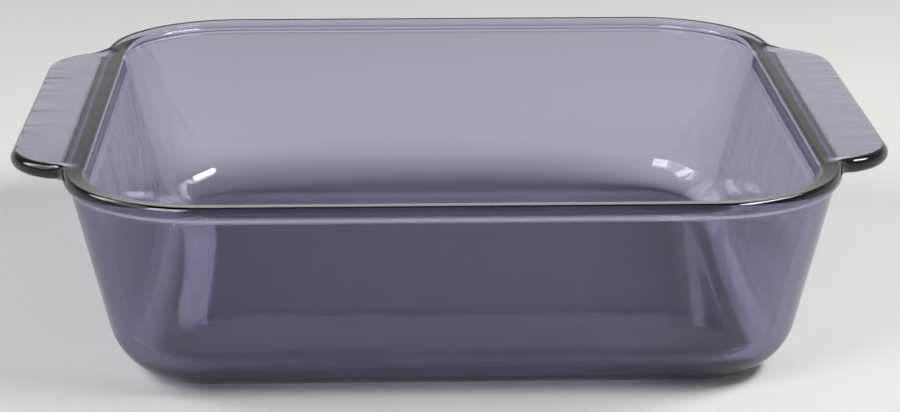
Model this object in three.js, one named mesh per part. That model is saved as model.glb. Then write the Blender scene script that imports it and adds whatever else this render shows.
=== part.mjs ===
// Square baking dish, pressed in one piece from clear violet glass: drafted walls on a rounded
// square plan, a flat-topped rim, and a tab handle drawn out of the rim on two opposite sides.
// Millimetres, +Z up. The origin is the middle of the underside; +X runs from handle to handle.

import * as THREE from 'three';

const { clamp, degToRad, lerp, smoothstep } = THREE.MathUtils;

// Whole dish
const rimSpan = 203.2; // between the crest lines of opposite sides
const rimHeight = 58.4; // from the table to the rim's outer edge, the highest line
const cornerRadius = 35.5; // of the crest line, in plan
const baseCornerRadius = 11; // of the flat underside, in plan

// Bowl
const wallDraft = 13.4; // degrees that the walls lean outward
const wallThickness = 5.2; // square to the wall
const floorThickness = 5.5;
const baseFilletRadius = 18.2; // outside, between the underside and the wall
const floorFilletRadius = 12.5; // inside, between the floor and the wall

// Rim
const crestRadius = 1.8; // rounding from the inner wall up to the crest line
const rimRise = 0.5; // of the flat top, from the crest line out to the edge
const rimOverhang = 0.8; // of the rim's outermost line past the wall's outer face
const edgeRadius = 0.6; // of the tight round at the outer end of the top
const edgeTurn = 45; // degrees above level where the tight round meets the face below it
const beadRadius = 2.4; // of the round face below the edge
const beadUndercut = 55; // degrees below level where that face ends

// Tab handles
const tabReach = 16.6; // from the rim's outermost line to the tip
const tabLength = 116; // along the tip, to where its ends would meet the tip's line
const tabThickness = 4.4;
const tabCornerRadius = 19; // between the tip and an end, in plan
const tabEndSlant = 26; // degrees that the ends splay towards the rim
const tabRootRadius = 5; // where an end runs into the rim, in plan
const tabUnderFillet = 5.5; // below, between a tab and the wall

// Facets of each stretch
const floorSteps = 5;
const crestSteps = 3;
const topSteps = 3;
const edgeSteps = 2;
const noseSteps = 6;
const underSteps = 3;
const baseSteps = 5;
const straightSteps = 3;
const tabCornerSteps = 6;
const tabEndSteps = 2;
const tabRootSteps = 4;
const cornerSteps = 7;

const rightAngle = Math.PI / 2;
const draft = degToRad(wallDraft);
const crestHeight = rimHeight - rimRise; // also of the tabs' flat tops
const crestHalf = rimSpan / 2;
const cornerCentre = crestHalf - cornerRadius; // of the crest line's corner, in x and in y
const quarterRun = 2 * cornerCentre + cornerRadius * rightAngle; // crest line of a quarter
const wallWidth = wallThickness / Math.cos(draft); // level, through the wall
const filletShare = 0.7; // the most of a ledge or an end that a rounding takes

function steps(count) {
  return Array.from({ length: count + 1 }, (_, index) => index / count);
}

// How far outside the crest line the inner and outer wall faces lie at a height

function innerWall(z) {
  const roundEnd = crestHeight - crestRadius + crestRadius * Math.sin(draft);
  return -crestRadius * Math.cos(draft) - (roundEnd - z) * Math.tan(draft);
}

function outerWall(z) {
  return innerWall(z) + wallWidth;
}

const rimReach = outerWall(rimHeight) + rimOverhang; // from the crest line to the outermost line
const edgeAngle = degToRad(edgeTurn);
const topWidth = rimReach - beadRadius + (beadRadius - edgeRadius) * Math.cos(edgeAngle);
const rimTilt = Math.atan2(rimRise, topWidth); // of the flat top, inward

// Section of the bowl: points whose x lies outside the crest line and whose y is a height

function sectionArc(centre, radius, fromAngle, toAngle, count) {
  return steps(count).map((share) => {
    const facing = facingAt(lerp(fromAngle, toAngle, share));
    return facing.multiplyScalar(radius).add(centre);
  });
}

function filletCentre(wall, level, radius) {
  const z = level + radius;
  return new THREE.Vector2(wall(z) - radius / Math.cos(draft), z);
}

function insideSection(tilt) {
  const floorCentre = filletCentre(innerWall, floorThickness, floorFilletRadius);
  const crestCentre = new THREE.Vector2(0, crestHeight - crestRadius);
  const crestEnd = rightAngle + tilt;
  return [
    ...sectionArc(floorCentre, floorFilletRadius, -rightAngle, -draft, floorSteps),
    ...sectionArc(crestCentre, crestRadius, Math.PI - draft, crestEnd, crestSteps),
  ];
}

const baseCentre = filletCentre(outerWall, 0, baseFilletRadius);

function outsideSection() {
  return sectionArc(baseCentre, baseFilletRadius, -draft, -rightAngle, baseSteps);
}

// Plan of a quarter, from the middle of the handle side to the middle of the plain side

function outsideCrest(point) {
  const x = Math.max(point.x - cornerCentre, 0);
  const y = Math.max(point.y - cornerCentre, 0);
  return Math.hypot(x, y) - cornerRadius;
}

function turnAt(run) {
  return clamp((run - cornerCentre) / cornerRadius, 0, rightAngle);
}

// Rings keep a level distance outside the crest line; inside it their corners tighten to the base
function ringPoint(run, reach, z) {
  const cornerTaper = reach > 0 ? 1 : (baseCornerRadius - cornerRadius) / baseCentre.x;
  const radius = cornerRadius + reach * cornerTaper;
  const centre = crestHalf + reach - radius;
  const turn = turnAt(run);
  const along = Math.min(run / cornerCentre, 1);
  const left = Math.min((quarterRun - run) / cornerCentre, 1);
  return new THREE.Vector3(
    centre * left + radius * Math.cos(turn),
    centre * along + radius * Math.sin(turn),
    z,
  );
}

function facingAt(angle) {
  return new THREE.Vector2(Math.cos(angle), Math.sin(angle));
}

function planArc(centre, signedRadius, fromAngle, toAngle, count) {
  return steps(count).map((share) => {
    const facing = facingAt(lerp(fromAngle, toAngle, share));
    return { edge: facing.clone().multiplyScalar(signedRadius).add(centre), facing };
  });
}

function planLine(from, to, count) {
  const inner = steps(count).slice(1, -1);
  return inner.map((share) => ({
    edge: from.edge.clone().lerp(to.edge, share),
    facing: from.facing.clone(),
  }));
}

// Hollow round where a tab's end runs into the rim, on the rim's straight side or on its corner
function tabRoot(tip, endFacing) {
  const straightX = crestHalf + rimReach + tabRootRadius;
  const drop = tabRootRadius - (straightX - tip.x) * endFacing.x;
  const straight = new THREE.Vector2(straightX, tip.y + drop / endFacing.y);
  if (straight.y <= cornerCentre) {
    return { centre: straight, angle: 0, run: straight.y };
  }
  const corner = new THREE.Vector2(cornerCentre, cornerCentre);
  const inward = new THREE.Vector2(-endFacing.y, endFacing.x);
  const start = endFacing.clone().multiplyScalar(tabRootRadius).add(tip).sub(corner);
  const reach = cornerRadius + rimReach + tabRootRadius;
  const along = start.dot(inward);
  const travel = -along - Math.sqrt(along ** 2 - start.lengthSq() + reach ** 2);
  const offset = start.addScaledVector(inward, travel);
  const angle = offset.angle();
  return { centre: offset.add(corner), angle, run: cornerCentre + cornerRadius * angle };
}

function tabOutline() {
  const tip = new THREE.Vector2(crestHalf + rimReach + tabReach, tabLength / 2);
  const endAngle = rightAngle - degToRad(tabEndSlant);
  const endFacing = facingAt(endAngle);
  const root = tabRoot(tip, endFacing);
  const tangent = Math.tan(endAngle / 2);
  const rootStart = root.centre.clone().addScaledVector(endFacing, -tabRootRadius);
  const longest = filletShare * tip.distanceTo(rootStart);
  const corner = Math.min(tabCornerRadius, longest / tangent);
  const cornerMiddle = new THREE.Vector2(tip.x - corner, tip.y - corner * tangent);
  const cornerArc = planArc(cornerMiddle, corner, 0, endAngle, tabCornerSteps);
  const rootArc = planArc(root.centre, -tabRootRadius, endAngle, root.angle, tabRootSteps);
  const middle = { edge: new THREE.Vector2(tip.x, 0), facing: facingAt(0) };
  const outline = [
    middle,
    ...planLine(middle, cornerArc[0], straightSteps),
    ...cornerArc,
    ...planLine(cornerArc.at(-1), rootArc[0], tabEndSteps),
    ...rootArc,
  ];
  return { outline, root };
}

// The crest line up to a tab's root is shared out along the tab's outline by length
function tabColumns({ outline, root }) {
  const lengths = [0];
  for (let index = 1; index < outline.length; index += 1) {
    const stretch = outline[index].edge.distanceTo(outline[index - 1].edge);
    lengths.push(lengths[index - 1] + stretch);
  }
  return outline.map((place, index) => ({
    ...place,
    run: (root.run * lengths[index]) / lengths.at(-1),
  }));
}

function rimColumns(root) {
  const cornerEnd = cornerCentre + cornerRadius * rightAngle;
  const cornerStart = Math.max(root.run, cornerCentre);
  const runs = [
    ...steps(cornerSteps).map((share) => lerp(cornerStart, cornerEnd, share)),
    ...steps(straightSteps).slice(1).map((share) => lerp(cornerEnd, quarterRun, share)),
  ];
  return runs.filter((run) => run > root.run).map((run) => {
    const { x, y } = ringPoint(run, rimReach, 0);
    return { edge: new THREE.Vector2(x, y), facing: facingAt(turnAt(run)), run };
  });
}

// One section of the dish, from the edge of the floor over the rim to the edge of the base

function topPoints(start, end) {
  const inner = steps(topSteps).slice(1, -1);
  return inner.map((share) => start.clone().lerp(end, share));
}

// From the end of the flat top over the tight round and the face below it to the undercut
function nosePoints({ edge, facing }, tabShare, tilt, undercut) {
  const bead = lerp(beadRadius, tabThickness / 2, tabShare);
  const tight = lerp(edgeRadius, tabThickness / 2, tabShare);
  const top = lerp(rimHeight, crestHeight, tabShare);
  const offset = facingAt(edgeAngle).multiplyScalar(bead - tight);
  const beadCentre = new THREE.Vector2(-bead, top - tight - offset.y);
  const edgeCentre = beadCentre.clone().add(offset);
  const section = [
    ...sectionArc(edgeCentre, tight, rightAngle + tilt, edgeAngle, edgeSteps).slice(0, -1),
    ...sectionArc(beadCentre, bead, edgeAngle, -undercut, noseSteps),
  ];
  return section.map((point) => {
    const place = edge.clone().addScaledVector(facing, point.x);
    return new THREE.Vector3(place.x, place.y, point.y);
  });
}

// The hollow round from the end of the nose into the wall's outer face
function underPoints(run, start, undercut) {
  const beside = ringPoint(run, outerWall(start.z), start.z);
  const closing = Math.sin(undercut) - Math.cos(undercut) * Math.tan(draft);
  const way = start.distanceTo(beside) / closing;
  const meetZ = start.z - way * Math.cos(undercut);
  const meet = ringPoint(run, outerWall(meetZ), meetZ);
  const fillet = Math.min(tabUnderFillet, filletShare * way);
  const first = meet.clone().lerp(start, fillet / way);
  const last = ringPoint(run, outerWall(meetZ - fillet), meetZ - fillet);
  return new THREE.QuadraticBezierCurve3(first, meet, last).getPoints(underSteps);
}

function columnPoints({ run, edge, facing }) {
  const tabShare = smoothstep(outsideCrest(edge), rimReach, rimReach + tabUnderFillet);
  const tilt = lerp(rimTilt, 0, tabShare);
  const undercut = lerp(degToRad(beadUndercut), rightAngle, tabShare);
  const onRing = (point) => ringPoint(run, point.x, point.y);
  const inside = insideSection(tilt).map(onRing);
  const nose = nosePoints({ edge, facing }, tabShare, tilt, undercut);
  return [
    ...inside,
    ...topPoints(inside.at(-1), nose[0]),
    ...nose,
    ...underPoints(run, nose.at(-1), undercut),
    ...outsideSection().map(onRing),
  ];
}

// The quarter's sections, mirrored round the dish without repeating those on the mirror planes
function dishColumns() {
  const tab = tabOutline();
  const quarter = [...tabColumns(tab), ...rimColumns(tab.root)].map(columnPoints);
  const forward = quarter.slice(0, -1);
  const backward = quarter.slice(1).reverse();
  const mirrored = (columns, x, y) => {
    const sides = new THREE.Vector3(x, y, 1);
    return columns.map((column) => column.map((point) => point.clone().multiply(sides)));
  };
  return [
    ...forward,
    ...mirrored(backward, -1, 1),
    ...mirrored(forward, -1, -1),
    ...mirrored(backward, 1, -1),
  ];
}

function dishGeometry() {
  const columns = dishColumns();
  const rows = columns[0].length;
  const points = columns.flat();
  const floorMiddle = points.push(new THREE.Vector3(0, 0, floorThickness)) - 1;
  const baseMiddle = points.push(new THREE.Vector3(0, 0, 0)) - 1;
  const faces = [];
  columns.forEach((_, column) => {
    const here = column * rows;
    const next = ((column + 1) % columns.length) * rows;
    faces.push(floorMiddle, here, next);
    for (let row = 0; row < rows - 1; row += 1) {
      faces.push(here + row, here + row + 1, next + row + 1);
      faces.push(here + row, next + row + 1, next + row);
    }
    faces.push(baseMiddle, next + rows - 1, here + rows - 1);
  });
  const geometry = new THREE.BufferGeometry().setFromPoints(points);
  geometry.setIndex(faces);
  geometry.computeVertexNormals();
  return geometry;
}

const violetGlass = new THREE.MeshStandardMaterial({
  color: 0x8a7fa6,
  roughness: 0.05,
  metalness: 0,
  transparent: true,
  opacity: 0.45,
});

const glassDish = new THREE.Mesh(dishGeometry(), violetGlass);
glassDish.name = 'glass_dish';

const bakingDish = new THREE.Group();
bakingDish.add(glassDish);

export default bakingDish;
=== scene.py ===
"""Square baking dish of violet pressed glass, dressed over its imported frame.

The dish is one section swept round its rim: the floor, the wall, the rim or a tab handle, and the
wall's outer face. Its sizes are in millimetres and turn into metres where the mesh is made. The frame is
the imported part's: the origin is the middle of the underside, +X runs from handle to handle, +Z is up.
"""

import math

import bpy
from mathutils import Matrix, Vector


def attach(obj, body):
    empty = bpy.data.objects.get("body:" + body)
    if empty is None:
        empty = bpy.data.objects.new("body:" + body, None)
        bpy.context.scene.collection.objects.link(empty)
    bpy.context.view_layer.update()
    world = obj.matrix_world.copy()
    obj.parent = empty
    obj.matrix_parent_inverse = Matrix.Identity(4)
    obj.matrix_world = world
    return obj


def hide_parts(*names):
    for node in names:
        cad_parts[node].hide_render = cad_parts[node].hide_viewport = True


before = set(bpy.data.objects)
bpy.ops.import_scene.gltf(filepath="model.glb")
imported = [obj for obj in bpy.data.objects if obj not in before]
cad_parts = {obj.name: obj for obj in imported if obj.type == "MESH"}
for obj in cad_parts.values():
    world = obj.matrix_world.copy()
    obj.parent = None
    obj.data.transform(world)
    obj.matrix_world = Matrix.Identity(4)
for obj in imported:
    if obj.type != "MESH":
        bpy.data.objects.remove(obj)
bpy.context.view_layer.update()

METRES = 0.001  # in a millimetre

# Whole dish
RIM_SPAN = 203.2  # between the crest lines of opposite sides
RIM_HEIGHT = 58.4  # from the table to the rim's outer edge, the highest line
CORNER_RADIUS = 35.5  # of the crest line, in plan
BASE_CORNER_RADIUS = 11  # of the flat underside, in plan

# Bowl
WALL_DRAFT = math.radians(13.4)  # that the walls lean outward
WALL_THICKNESS = 5.2  # square to the wall
FLOOR_THICKNESS = 5.5
BASE_FILLET_RADIUS = 18.2  # outside, between the underside and the wall
FLOOR_FILLET_RADIUS = 12.5  # inside, between the floor and the wall

# Rim
CREST_RADIUS = 1.8  # rounding from the inner wall up to the crest line
RIM_RISE = 0.5  # of the flat top, from the crest line out to the edge
RIM_OVERHANG = 0.8  # of the rim's outermost line past the wall's outer face
EDGE_RADIUS = 0.6  # of the tight round at the outer end of the top
EDGE_TURN = math.radians(45)  # above level, where the tight round meets the face below it
BEAD_RADIUS = 2.4  # of the round face below the edge
BEAD_UNDERCUT = math.radians(55)  # below level, where that face ends

# Tab handles
TAB_REACH = 16.6  # from the rim's edge to the tip
TAB_LENGTH = 116  # along the tip, to where its ends would meet the tip's line
TAB_THICKNESS = 4.4
TAB_CORNER_RADIUS = 19  # between the tip and an end, in plan
TAB_END_SLANT = math.radians(26)  # that the ends splay towards the rim
TAB_ROOT_RADIUS = 5  # where an end runs into the rim, in plan
TAB_UNDER_FILLET = 5.5  # below, between a tab and the wall

# Facets of each stretch
FLOOR_STEPS = 16
CREST_STEPS = 10
TOP_STEPS = 12
EDGE_STEPS = 8
NOSE_STEPS = 16
UNDER_STEPS = 10
BASE_STEPS = 18
STRAIGHT_STEPS = 20
TAB_CORNER_STEPS = 24
TAB_END_STEPS = 10
TAB_ROOT_STEPS = 16
CORNER_STEPS = 36
FLAT_RINGS = (0.98, 0.9, 0.6, 0.3)  # of the floor and of the underside, as shares of their edge

RIGHT_ANGLE = math.pi / 2
CREST_HALF = RIM_SPAN / 2
CORNER_CENTRE = CREST_HALF - CORNER_RADIUS  # of the crest line's corner, in x and in y
CREST_HEIGHT = RIM_HEIGHT - RIM_RISE  # also of the tabs' flat tops
QUARTER_RUN = 2 * CORNER_CENTRE + CORNER_RADIUS * RIGHT_ANGLE  # crest line of a quarter
WALL_WIDTH = WALL_THICKNESS / math.cos(WALL_DRAFT)  # level, through the wall
FILLET_SHARE = 0.9  # the most of the way to the wall that a hollow round takes


def steps(count):
    return [index / count for index in range(count + 1)]


def clamp(value, low, high):
    return min(max(value, low), high)


def mix(start, end, share):
    return start + (end - start) * share


def smoothstep(value, low, high):
    share = clamp((value - low) / (high - low), 0, 1)
    return share * share * (3 - 2 * share)


def facing_at(angle):
    return Vector((math.cos(angle), math.sin(angle)))


# How far outside the crest line the wall's faces lie at a height


def inner_wall(z):
    round_end = CREST_HEIGHT - CREST_RADIUS + CREST_RADIUS * math.sin(WALL_DRAFT)
    return -CREST_RADIUS * math.cos(WALL_DRAFT) - (round_end - z) * math.tan(WALL_DRAFT)


def outer_wall(z):
    return inner_wall(z) + WALL_WIDTH


RIM_REACH = outer_wall(RIM_HEIGHT) + RIM_OVERHANG  # from the crest line to the outermost line
TOP_WIDTH = RIM_REACH - BEAD_RADIUS + (BEAD_RADIUS - EDGE_RADIUS) * math.cos(EDGE_TURN)
RIM_TILT = math.atan2(RIM_RISE, TOP_WIDTH)  # of the flat top, inward


# Section of the bowl: points whose x lies outside the crest line and whose y is a height


def section_arc(centre, radius, from_angle, to_angle, count):
    return [centre + radius * facing_at(mix(from_angle, to_angle, share)) for share in steps(count)]


def fillet_centre(wall, level, radius):
    z = level + radius
    return Vector((wall(z) - radius / math.cos(WALL_DRAFT), z))


def inside_section(tilt):
    """The tilt is the slope at the end of the round at the crest line."""
    floor_centre = fillet_centre(inner_wall, FLOOR_THICKNESS, FLOOR_FILLET_RADIUS)
    crest_centre = Vector((0, CREST_HEIGHT - CREST_RADIUS))
    crest_end = RIGHT_ANGLE + tilt
    return [
        *section_arc(floor_centre, FLOOR_FILLET_RADIUS, -RIGHT_ANGLE, -WALL_DRAFT, FLOOR_STEPS),
        *section_arc(crest_centre, CREST_RADIUS, math.pi - WALL_DRAFT, crest_end, CREST_STEPS),
    ]


BASE_CENTRE = fillet_centre(outer_wall, 0, BASE_FILLET_RADIUS)


def outside_section():
    return section_arc(BASE_CENTRE, BASE_FILLET_RADIUS, -WALL_DRAFT, -RIGHT_ANGLE, BASE_STEPS)


# Plan of a quarter, from the middle of the handle side to the middle of the plain side


def outside_crest(point):
    x = max(point.x - CORNER_CENTRE, 0)
    y = max(point.y - CORNER_CENTRE, 0)
    return math.hypot(x, y) - CORNER_RADIUS


def turn_at(run):
    return clamp((run - CORNER_CENTRE) / CORNER_RADIUS, 0, RIGHT_ANGLE)


def ring_point(run, reach, z):
    """Rings are parallel outside the crest line; inside it their corners tighten to the base."""
    taper = 1 if reach > 0 else (BASE_CORNER_RADIUS - CORNER_RADIUS) / BASE_CENTRE.x
    radius = CORNER_RADIUS + reach * taper
    centre = CREST_HALF + reach - radius
    turn = turn_at(run)
    along = min(run / CORNER_CENTRE, 1)
    left = min((QUARTER_RUN - run) / CORNER_CENTRE, 1)
    return Vector((centre * left + radius * math.cos(turn), centre * along + radius * math.sin(turn), z))


def plan_arc(centre, signed_radius, from_angle, to_angle, count):
    facings = [facing_at(mix(from_angle, to_angle, share)) for share in steps(count)]
    return [(centre + signed_radius * facing, facing) for facing in facings]


def plan_line(start, end, count):
    return [(start[0].lerp(end[0], share), start[1]) for share in steps(count)[1:-1]]


def tab_root(tip, end_facing):
    """Centre, facing angle and crest run of the hollow round where a tab's end runs into the rim."""
    straight_x = CREST_HALF + RIM_REACH + TAB_ROOT_RADIUS
    drop = TAB_ROOT_RADIUS - (straight_x - tip.x) * end_facing.x
    straight = Vector((straight_x, tip.y + drop / end_facing.y))
    if straight.y <= CORNER_CENTRE:
        return straight, 0, straight.y
    corner = Vector((CORNER_CENTRE, CORNER_CENTRE))
    inward = Vector((-end_facing.y, end_facing.x))
    start = tip + TAB_ROOT_RADIUS * end_facing - corner
    reach = CORNER_RADIUS + RIM_REACH + TAB_ROOT_RADIUS
    along = start.dot(inward)
    travel = -along - math.sqrt(along**2 - start.length_squared + reach**2)
    offset = start + travel * inward
    angle = math.atan2(offset.y, offset.x)
    return corner + offset, angle, CORNER_CENTRE + CORNER_RADIUS * angle


def tab_columns():
    """Edge point, facing and crest run of each section of a tab, and the run where the tab ends."""
    tip = Vector((CREST_HALF + RIM_REACH + TAB_REACH, TAB_LENGTH / 2))
    end_angle = RIGHT_ANGLE - TAB_END_SLANT
    tangent = math.tan(end_angle / 2)
    root_centre, root_angle, root_run = tab_root(tip, facing_at(end_angle))
    corner_centre = Vector((tip.x - TAB_CORNER_RADIUS, tip.y - TAB_CORNER_RADIUS * tangent))
    corner = plan_arc(corner_centre, TAB_CORNER_RADIUS, 0, end_angle, TAB_CORNER_STEPS)
    root = plan_arc(root_centre, -TAB_ROOT_RADIUS, end_angle, root_angle, TAB_ROOT_STEPS)
    middle = (Vector((tip.x, 0)), facing_at(0))
    outline = [
        middle,
        *plan_line(middle, corner[0], STRAIGHT_STEPS),
        *corner,
        *plan_line(corner[-1], root[0], TAB_END_STEPS),
        *root,
    ]
    lengths = [0]
    for (start, _), (end, _) in zip(outline, outline[1:]):
        lengths.append(lengths[-1] + (end - start).length)
    columns = [
        (edge, facing, root_run * length / lengths[-1])
        for (edge, facing), length in zip(outline, lengths)
    ]
    return columns, root_run


def rim_columns(root_run):
    corner_end = CORNER_CENTRE + CORNER_RADIUS * RIGHT_ANGLE
    corner_start = max(root_run, CORNER_CENTRE)
    runs = [mix(corner_start, corner_end, share) for share in steps(CORNER_STEPS)]
    runs += [mix(corner_end, QUARTER_RUN, share) for share in steps(STRAIGHT_STEPS)[1:]]
    return [
        (ring_point(run, RIM_REACH, 0).xy, facing_at(turn_at(run)), run)
        for run in runs
        if run > root_run
    ]


# One section of the dish, from the edge of the floor over the rim to the edge of the base


def top_points(start, end):
    return [start.lerp(end, share) for share in steps(TOP_STEPS)[1:-1]]


def nose_points(edge, facing, tab_share, tilt, undercut):
    """From the end of the flat top over the tight round and the face below it to the undercut."""
    bead_radius = mix(BEAD_RADIUS, TAB_THICKNESS / 2, tab_share)
    edge_radius = mix(EDGE_RADIUS, TAB_THICKNESS / 2, tab_share)
    top = mix(RIM_HEIGHT, CREST_HEIGHT, tab_share)
    offset = (bead_radius - edge_radius) * facing_at(EDGE_TURN)
    bead_centre = Vector((-bead_radius, top - edge_radius - offset.y))
    edge_centre = bead_centre + offset
    section = [
        *section_arc(edge_centre, edge_radius, RIGHT_ANGLE + tilt, EDGE_TURN, EDGE_STEPS)[:-1],
        *section_arc(bead_centre, bead_radius, EDGE_TURN, -undercut, NOSE_STEPS),
    ]
    return [Vector((*(edge + facing * point.x), point.y)) for point in section]


def under_points(run, start, undercut):
    """The hollow round from the end of the nose into the wall's outer face."""
    beside = ring_point(run, outer_wall(start.z), start.z)
    gap = (start - beside).length
    way = gap / (math.sin(undercut) - math.cos(undercut) * math.tan(WALL_DRAFT))
    meet_z = start.z - way * math.cos(undercut)
    meet = ring_point(run, outer_wall(meet_z), meet_z)
    fillet = min(TAB_UNDER_FILLET, FILLET_SHARE * way)
    first = meet.lerp(start, fillet / way)
    last = ring_point(run, outer_wall(meet_z - fillet), meet_z - fillet)
    return [first.lerp(meet, share).lerp(meet.lerp(last, share), share) for share in steps(UNDER_STEPS)]


def column_points(edge, facing, run):
    tab_share = smoothstep(outside_crest(edge), RIM_REACH, RIM_REACH + TAB_UNDER_FILLET)
    tilt = mix(RIM_TILT, 0, tab_share)
    undercut = mix(BEAD_UNDERCUT, RIGHT_ANGLE, tab_share)
    inside = [ring_point(run, *point) for point in inside_section(tilt)]
    nose = nose_points(edge, facing, tab_share, tilt, undercut)
    return [
        *inside,
        *top_points(inside[-1], nose[0]),
        *nose,
        *under_points(run, nose[-1], undercut),
        *[ring_point(run, *point) for point in outside_section()],
    ]


def dish_columns():
    """The quarter's sections, mirrored round the dish without repeating those on the mirror planes."""
    tab, root_run = tab_columns()
    quarter = [column_points(*column) for column in tab + rim_columns(root_run)]
    forward = quarter[:-1]
    backward = quarter[:0:-1]
    sides = [(forward, 1, 1), (backward, -1, 1), (forward, -1, -1), (backward, 1, -1)]
    return [
        [Vector((x * point.x, y * point.y, point.z)) for point in column]
        for columns, x, y in sides
        for column in columns
    ]


def with_flats(column):
    """A section that also runs in over the floor and the underside."""
    floor = [Vector((*(column[0].xy * share), column[0].z)) for share in reversed(FLAT_RINGS)]
    base = [Vector((*(column[-1].xy * share), column[-1].z)) for share in FLAT_RINGS]
    return floor + column + base


def dish_mesh(name):
    columns = [with_flats(column) for column in dish_columns()]
    rows = len(columns[0])
    points = [point * METRES for column in columns for point in column]
    floor_middle = len(points)
    base_middle = floor_middle + 1
    points += [Vector((0, 0, FLOOR_THICKNESS * METRES)), Vector((0, 0, 0))]
    faces = []
    for column in range(len(columns)):
        here = column * rows
        beside = (column + 1) % len(columns) * rows
        faces.append((floor_middle, here, beside))
        for row in range(rows - 1):
            faces.append((here + row, here + row + 1, beside + row + 1, beside + row))
        faces.append((base_middle, beside + rows - 1, here + rows - 1))
    mesh = bpy.data.meshes.new(name)
    mesh.from_pydata(points, [], faces)
    mesh.polygons.foreach_set("use_smooth", [True] * len(mesh.polygons))
    return mesh


# Materials, with heights and distances in metres and scales per metre

GLASS_IOR = 1.5
GLASS_TINT = (0.145, 0.085, 0.39, 1)  # of the light that the glass doesn't absorb
GLASS_DENSITY = 138  # of the absorption, per metre
WAVE_SCALE = 70  # of the slow waves that pressing leaves in the glass
WAVE_HEIGHT = 0.00007
RIPPLE_STRETCH = (30, 110, 30)  # scale along each axis
RIPPLE_ZONE = (0.111, 0.121)  # from the middle of the dish to where the ripples begin and are full
RIPPLE_HEIGHT = 0.00018
WEAR_SCALE = 45
WEAR_RANGE = (0.45, 0.75)  # of the noise, from clean to worn
WEAR_ROUGHNESS = 0.03
PAPER_DARK = (0.49, 0.476, 0.471, 1)
PAPER_LIGHT = (0.517, 0.503, 0.498, 1)
PAPER_ROUGHNESS = 0.9
MOTTLE_SCALE = 9  # of the mottling between the two tones
GRAIN_SCALE = 2500
GRAIN_HEIGHT = 0.00005
GLOW_DISTANCES = (0.5, 1.6)  # from the middle of the dish to where the glow begins and is full
GLOW_LEVEL = 0.65
ROOM_COLOUR = (1, 0.98, 0.985, 1)  # of the glow and of the light from the room


def new_material(name):
    material = bpy.data.materials.new(name)
    material.use_nodes = True
    nodes = material.node_tree.nodes
    return material, nodes, material.node_tree.links.new, nodes["Principled BSDF"]


def noise(nodes, link, vector, scale, detail):
    made = nodes.new("ShaderNodeTexNoise")
    made.inputs["Scale"].default_value = scale
    made.inputs["Detail"].default_value = detail
    link(vector, made.inputs["Vector"])
    return made.outputs["Fac"]


def math_node(nodes, link, operation, first, second):
    made = nodes.new("ShaderNodeMath")
    made.operation = operation
    for socket, value in zip(made.inputs, (first, second)):
        if isinstance(value, (int, float)):
            socket.default_value = value
        else:
            link(value, socket)
    return made.outputs["Value"]


def map_range(nodes, link, value, source, target):
    made = nodes.new("ShaderNodeMapRange")
    made.interpolation_type = "SMOOTHSTEP"
    for name, number in zip(("From Min", "From Max", "To Min", "To Max"), (*source, *target)):
        made.inputs[name].default_value = number
    link(value, made.inputs["Value"])
    return made.outputs["Result"]


def bump(nodes, link, height, distance, normal=None):
    made = nodes.new("ShaderNodeBump")
    made.inputs["Distance"].default_value = distance
    link(height, made.inputs["Height"])
    if normal:
        link(normal, made.inputs["Normal"])
    return made.outputs["Normal"]


def tab_ripples(nodes, link, place):
    """Ripples that run in from the tip of a tab, as the mould chills the glass there."""
    stretched = nodes.new("ShaderNodeVectorMath")
    stretched.operation = "MULTIPLY"
    stretched.inputs[1].default_value = RIPPLE_STRETCH
    link(place, stretched.inputs[0])
    streaks = noise(nodes, link, stretched.outputs["Vector"], scale=1, detail=2)
    axes = nodes.new("ShaderNodeSeparateXYZ")
    link(place, axes.inputs["Vector"])
    out = math_node(nodes, link, "ABSOLUTE", axes.outputs["X"], 0)
    share = map_range(nodes, link, out, RIPPLE_ZONE, (0, 1))
    return math_node(nodes, link, "MULTIPLY", streaks, share)


def violet_glass():
    material, nodes, link, shader = new_material("violet_glass")
    shader.inputs["Base Color"].default_value = (1, 1, 1, 1)
    shader.inputs["IOR"].default_value = GLASS_IOR
    shader.inputs["Transmission Weight"].default_value = 1
    place = nodes.new("ShaderNodeTexCoord").outputs["Object"]
    waves = bump(nodes, link, noise(nodes, link, place, WAVE_SCALE, detail=1), WAVE_HEIGHT)
    ripples = bump(nodes, link, tab_ripples(nodes, link, place), RIPPLE_HEIGHT, waves)
    link(ripples, shader.inputs["Normal"])
    wear = noise(nodes, link, place, WEAR_SCALE, detail=4)
    roughness = map_range(nodes, link, wear, WEAR_RANGE, (0, WEAR_ROUGHNESS))
    link(roughness, shader.inputs["Roughness"])
    absorption = nodes.new("ShaderNodeVolumeAbsorption")
    absorption.inputs["Color"].default_value = GLASS_TINT
    absorption.inputs["Density"].default_value = GLASS_DENSITY
    link(absorption.outputs["Volume"], nodes["Material Output"].inputs["Volume"])
    return material


def far_glow(nodes, link, place):
    """What keeps the sheet pale beyond the lamps' reach, for the eye and for what the glass shows."""
    away = nodes.new("ShaderNodeVectorMath")
    away.operation = "LENGTH"
    link(place, away.inputs[0])
    rays = nodes.new("ShaderNodeLightPath").outputs
    seen = math_node(nodes, link, "MAXIMUM", rays["Is Camera Ray"], rays["Is Glossy Ray"])
    seen = math_node(nodes, link, "MAXIMUM", seen, rays["Is Transmission Ray"])
    glow = map_range(nodes, link, away.outputs["Value"], GLOW_DISTANCES, (0, GLOW_LEVEL))
    return math_node(nodes, link, "MULTIPLY", glow, seen)


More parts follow.
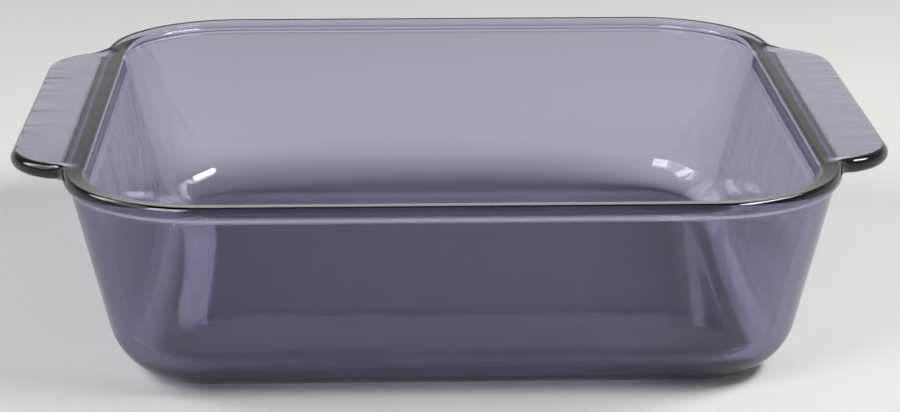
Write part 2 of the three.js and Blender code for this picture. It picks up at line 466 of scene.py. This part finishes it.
def pale_paper():
    material, nodes, link, shader = new_material("pale_paper")
    place = nodes.new("ShaderNodeTexCoord").outputs["Object"]
    tone = nodes.new("ShaderNodeMix")
    tone.data_type = "RGBA"
    tone.inputs["A"].default_value = PAPER_DARK
    tone.inputs["B"].default_value = PAPER_LIGHT
    link(noise(nodes, link, place, MOTTLE_SCALE, detail=3), tone.inputs["Factor"])
    link(tone.outputs["Result"], shader.inputs["Base Color"])
    shader.inputs["Roughness"].default_value = PAPER_ROUGHNESS
    shader.inputs["Emission Color"].default_value = ROOM_COLOUR
    link(far_glow(nodes, link, place), shader.inputs["Emission Strength"])
    grain = noise(nodes, link, place, GRAIN_SCALE, detail=2)
    link(bump(nodes, link, grain, GRAIN_HEIGHT), shader.inputs["Normal"])
    return material


# Stage, light and camera, with lengths in metres

SHEET_HALF = 6  # from the middle of the pale sheet to its edge
SHEET_DROP = 0.0002  # of the sheet below the dish, so that their faces don't coincide
DISH_MIDDLE = (0, 0, 0)
FAR_LEFT_CORNER = (-0.08, 0.09, 0.03)  # inside the dish
# Name, place, aim, width, height and watts of each softbox
SOFTBOXES = (
    ("left_softbox", (-0.75, -0.2, 0.62), (0, -0.08, 0), 1.0, 0.45, 3),
    ("right_softbox", (0.624, -0.165, 0.77), FAR_LEFT_CORNER, 0.75, 0.2, 13),
    ("left_strip", (-0.9, 0.12, 0.78), DISH_MIDDLE, 0.3, 0.6, 4),
    ("left_fill", (-0.6, -0.8, 0.75), DISH_MIDDLE, 0.5, 0.5, 6.5),
)
ROOM_HEIGHTS = (0.05, 0.45)  # sines of the elevations between which the room darkens
ROOM_LEVELS = (0.8, 0.2)  # of its light near the horizon and overhead
ROOM_SLOPE = (0.1, 0.06, 0)  # rise of the light along each axis
IMAGE_WIDTH = 900  # of the photograph, in pixels
FOCAL_PIXELS = 2650.8
SENSOR_WIDTH = 36  # in millimetres
CAMERA_YAW = math.radians(1.846)
CAMERA_PITCH = math.radians(17.377)
CAMERA_ROLL = math.radians(0.086)
CAMERA_TARGET = Vector((0.00121, 0, 0.02536))
CAMERA_DISTANCE = 0.7972
CAMERA_NEAR = 0.01  # where the camera's view begins


def add_object(name, data):
    made = bpy.data.objects.new(name, data)
    bpy.context.scene.collection.objects.link(made)
    return made


def add_floor():
    mesh = bpy.data.meshes.new("floor")
    signs = [(-1, -1), (1, -1), (1, 1), (-1, 1)]
    corners = [(x * SHEET_HALF, y * SHEET_HALF, -SHEET_DROP) for x, y in signs]
    mesh.from_pydata(corners, [], [(0, 1, 2, 3)])
    mesh.materials.append(pale_paper())
    add_object("floor", mesh)


def add_softbox(name, place, aim, width, height, power):
    lamp = bpy.data.lights.new(name, "AREA")
    lamp.shape = "RECTANGLE"
    lamp.size = width
    lamp.size_y = height
    lamp.energy = power
    made = add_object(name, lamp)
    made.location = place
    made.rotation_euler = (Vector(aim) - Vector(place)).to_track_quat("-Z", "Y").to_euler()


def add_world():
    """A room with pale walls and a dimmer ceiling, a little lighter towards the back and the right."""
    world = bpy.data.worlds.new("studio")
    world.use_nodes = True
    nodes = world.node_tree.nodes
    link = world.node_tree.links.new
    facing = nodes.new("ShaderNodeTexCoord").outputs["Generated"]
    axes = nodes.new("ShaderNodeSeparateXYZ")
    link(facing, axes.inputs["Vector"])
    level = map_range(nodes, link, axes.outputs["Z"], ROOM_HEIGHTS, ROOM_LEVELS)
    slope = nodes.new("ShaderNodeVectorMath")
    slope.operation = "DOT_PRODUCT"
    slope.inputs[1].default_value = ROOM_SLOPE
    link(facing, slope.inputs[0])
    strength = math_node(nodes, link, "ADD", level, slope.outputs["Value"])
    link(strength, nodes["Background"].inputs["Strength"])
    nodes["Background"].inputs["Color"].default_value = ROOM_COLOUR
    bpy.context.scene.world = world


def add_camera():
    lens = bpy.data.cameras.new("camera")
    lens.sensor_width = SENSOR_WIDTH
    lens.lens = FOCAL_PIXELS / IMAGE_WIDTH * SENSOR_WIDTH
    lens.clip_start = CAMERA_NEAR
    level = Vector((math.sin(CAMERA_YAW), math.cos(CAMERA_YAW), 0))
    forward = level * math.cos(CAMERA_PITCH) - Vector((0, 0, math.sin(CAMERA_PITCH)))
    side = Vector((math.cos(CAMERA_YAW), -math.sin(CAMERA_YAW), 0))
    up = side.cross(forward)
    right = math.cos(CAMERA_ROLL) * side + math.sin(CAMERA_ROLL) * up
    over = math.cos(CAMERA_ROLL) * up - math.sin(CAMERA_ROLL) * side
    turn = Matrix((right, over, -forward)).transposed().to_4x4()
    made = add_object("camera", lens)
    made.matrix_world = Matrix.Translation(CAMERA_TARGET - forward * CAMERA_DISTANCE) @ turn
    bpy.context.scene.camera = made


dish = add_object("dish", dish_mesh("dish"))
dish.data.materials.append(violet_glass())
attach(dish, "root")
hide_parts("glass_dish")

add_floor()
for softbox in SOFTBOXES:
    add_softbox(*softbox)
add_world()
add_camera()
bpy.context.scene.view_settings.view_transform = "Standard"
